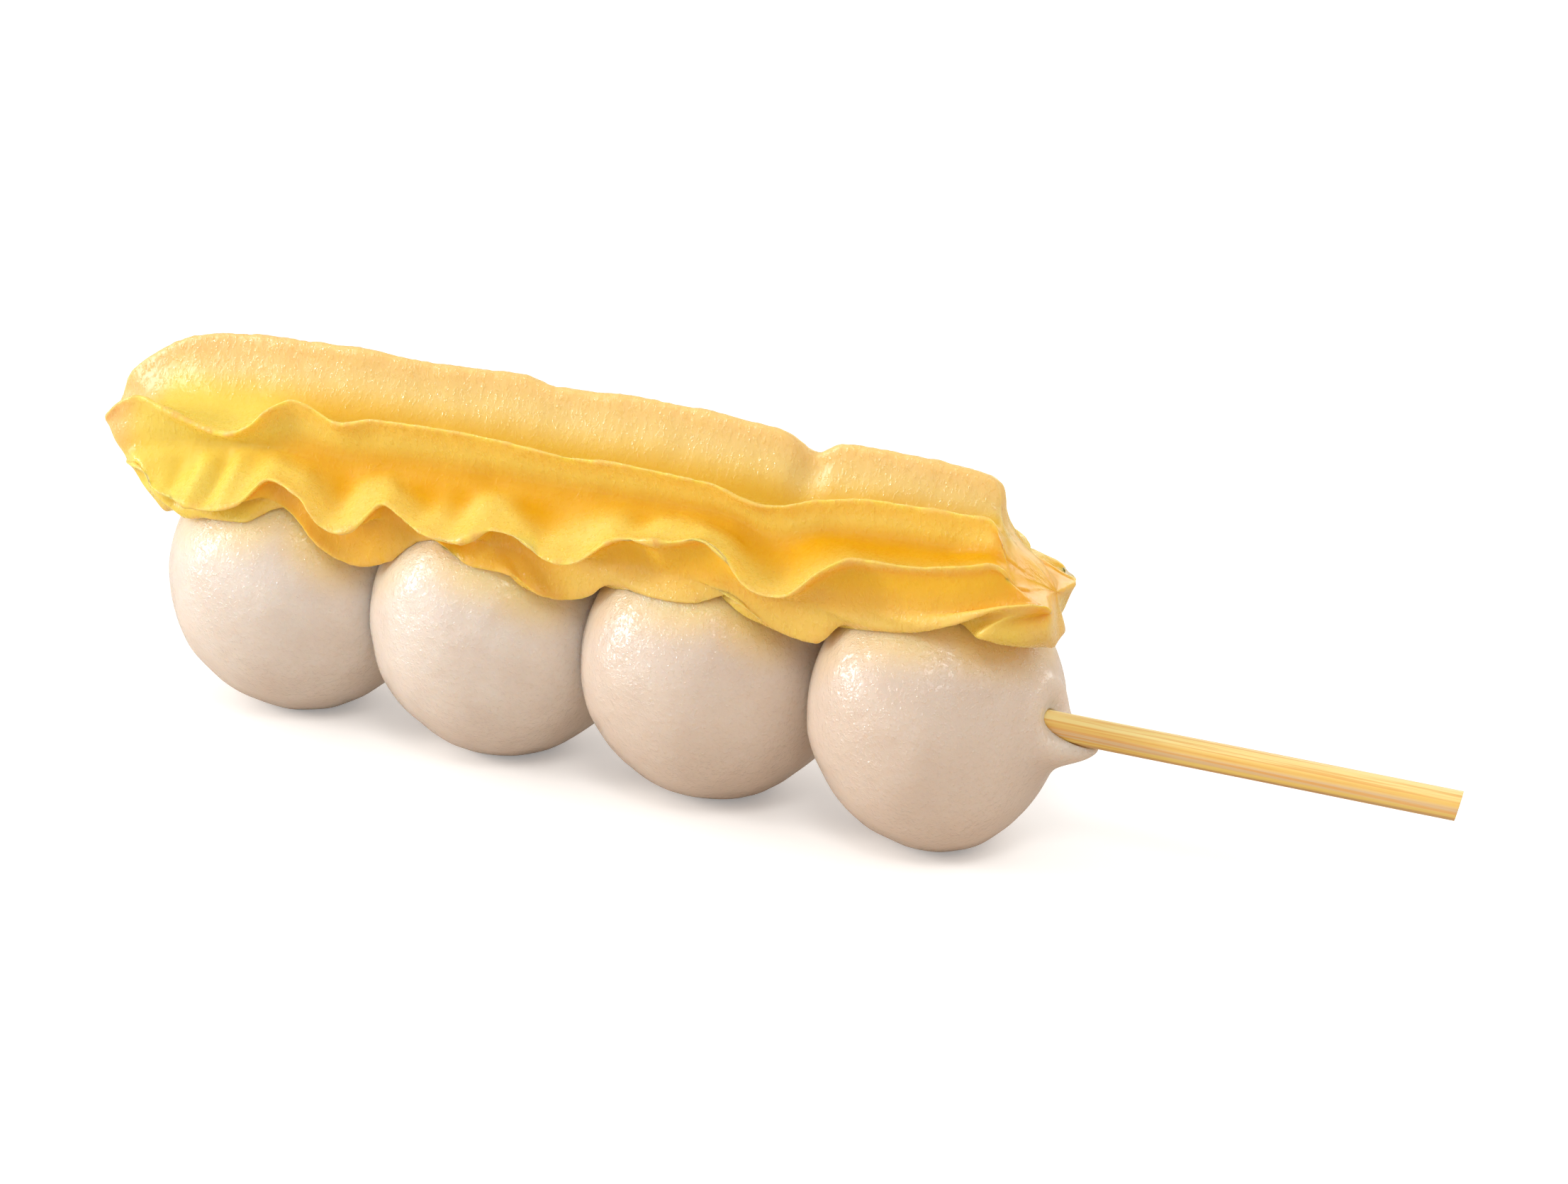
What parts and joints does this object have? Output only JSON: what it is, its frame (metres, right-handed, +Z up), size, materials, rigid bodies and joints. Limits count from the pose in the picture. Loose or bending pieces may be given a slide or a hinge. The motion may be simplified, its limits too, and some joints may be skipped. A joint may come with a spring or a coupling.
{
  "type": "dango skewer",
  "caption": "Row of round white rice dumplings on a bamboo skewer, topped with a ruffled strip of piped sweet paste.",
  "frame": {"origin": "on the table, under the middle of the whole length", "axes": "+X along the skewer towards its handle end, +Y to the back, +Z up"},
  "size_m": [0.1596, 0.0299, 0.041],
  "materials": {
    "mochi": "smooth moist steamed rice dough, faintly translucent",
    "paste": "moist translucent sweet paste, satin, with fine wrinkles",
    "bamboo": "bare split bamboo with fine long grain"
  },
  "bodies": {
    "root": {"ball_1": "mochi", "ball_2": "mochi", "ball_3": "mochi", "ball_4": "mochi", "paste_topping": "paste", "skewer": "bamboo"}
  },
  "joints": []
}
